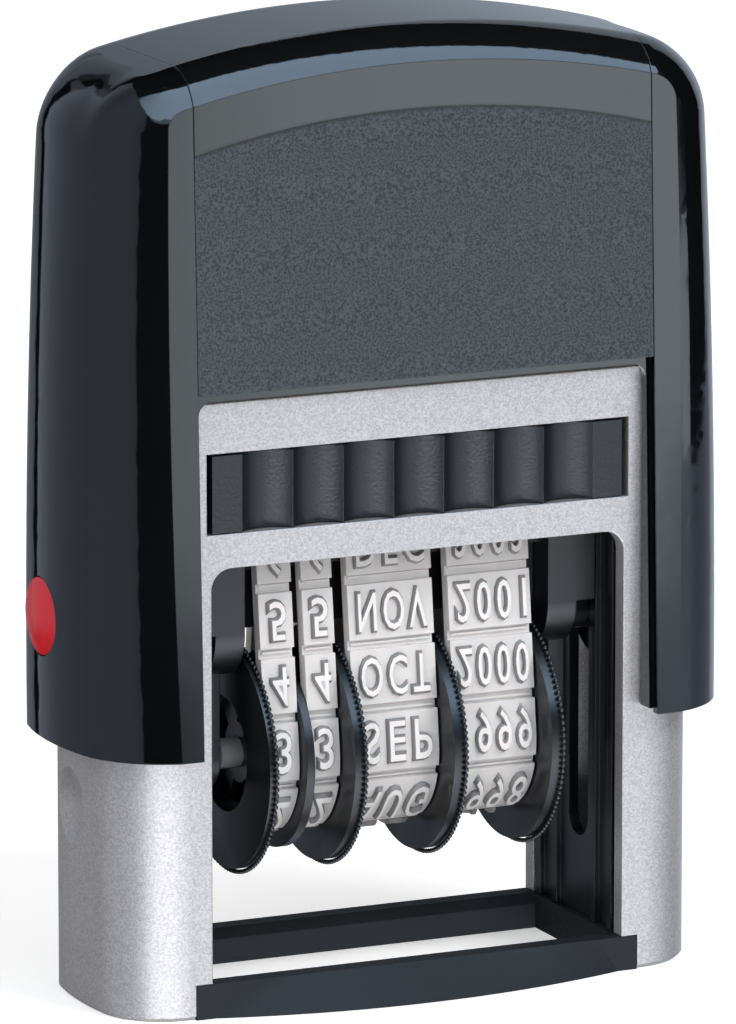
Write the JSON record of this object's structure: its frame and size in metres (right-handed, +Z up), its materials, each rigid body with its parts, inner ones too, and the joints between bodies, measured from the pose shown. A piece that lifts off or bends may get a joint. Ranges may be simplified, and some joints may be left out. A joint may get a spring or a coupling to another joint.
{
  "type": "self-inking date stamp",
  "caption": "Self-inking flip-over date stamp with a sprung cap, windowed frame, setting wheels, rubber character bands and a sliding ink pad.",
  "frame": {"origin": "centre of the overall footprint, on the paper", "axes": "+Z up from the paper along the cap's stroke, +X to the right along the front, +Y from the front to the rear"},
  "size_m": [0.0662, 0.027, 0.0908],
  "materials": {
    "frame_paint": "grey metallic-fleck moulded plastic, satin",
    "cap_gloss": "polished black ABS",
    "cover_grain": "fine-grained dark grey moulded plastic",
    "black_plastic": "semi-matte black moulded plastic",
    "wheel_plastic": "black acetal, slightly glossy",
    "band_rubber": "light grey moulded rubber",
    "button_red": "glossy red plastic",
    "ink_felt": "ink-soaked felt",
    "steel_wire": "drawn spring steel wire",
    "axle_grey": "light grey moulded plastic"
  },
  "bodies": {
    "base": {"base_frame": "frame_paint", "guide_plate_left": "black_plastic", "guide_plate_right": "black_plastic", "foot_frame": "black_plastic", "return_spring": "steel_wire"},
    "pad": {"pad_cassette": "black_plastic", "ink_pad": "ink_felt"},
    "cap": {"cap_shell": "cap_gloss", "label_cover": "cover_grain", "yoke": "black_plastic"},
    "button_left": {"lock_button_left": "button_red"},
    "button_right": {"lock_button_right": "button_red"},
    "carriage": {"carriage_plate_left": "black_plastic", "carriage_plate_right": "black_plastic", "platen": "black_plastic", "wheel_axle": "axle_grey", "pivot_pin_left": "black_plastic", "pivot_pin_right": "black_plastic", "divider_disc": "black_plastic", "band_day_tens": "band_rubber", "band_day_units": "band_rubber", "band_month": "band_rubber", "band_year": "band_rubber"},
    "wheel_day_tens": {"wheel_day_tens": "wheel_plastic"},
    "wheel_day_units": {"wheel_day_units": "wheel_plastic"},
    "wheel_month": {"wheel_month": "wheel_plastic"},
    "wheel_year": {"wheel_year": "wheel_plastic"}
  },
  "joints": [
    {"name": "cap_press", "type": "slide", "parent": "base", "child": "cap", "axis": [0, 0, -1], "range_m": [0, 0.02], "stiffness_N_per_m": 300, "springref_m": -0.01, "deforming": ["return_spring"]},
    {"name": "carriage_flip", "type": "hinge", "parent": "cap", "child": "carriage", "pos_m": [0, 0, 0.03285], "axis": [-1, 0, 0], "range_deg": [0, 180]},
    {"name": "pad_slide", "type": "slide", "parent": "base", "child": "pad", "axis": [0, 1, 0], "range_m": [-0.018, 0]},
    {"name": "button_left_press", "type": "slide", "parent": "cap", "child": "button_left", "axis": [1, 0, 0], "range_m": [0, 0.0005], "stiffness_N_per_m": 200, "springref_m": -0.0005},
    {"name": "button_right_press", "type": "slide", "parent": "cap", "child": "button_right", "axis": [-1, 0, 0], "range_m": [0, 0.0005], "stiffness_N_per_m": 200, "springref_m": -0.0005},
    {"name": "wheel_day_tens_turn", "type": "hinge", "parent": "carriage", "child": "wheel_day_tens", "pos_m": [0, 0, 0.0223], "axis": [1, 0, 0], "continuous": true},
    {"name": "wheel_day_units_turn", "type": "hinge", "parent": "carriage", "child": "wheel_day_units", "pos_m": [0, 0, 0.0223], "axis": [1, 0, 0], "continuous": true},
    {"name": "wheel_month_turn", "type": "hinge", "parent": "carriage", "child": "wheel_month", "pos_m": [0, 0, 0.0223], "axis": [1, 0, 0], "continuous": true},
    {"name": "wheel_year_turn", "type": "hinge", "parent": "carriage", "child": "wheel_year", "pos_m": [0, 0, 0.0223], "axis": [1, 0, 0], "continuous": true}
  ],
  "couplings": [
    {"joint": "carriage_flip", "follows": "cap_press", "rad_per_m": 157.08}
  ]
}
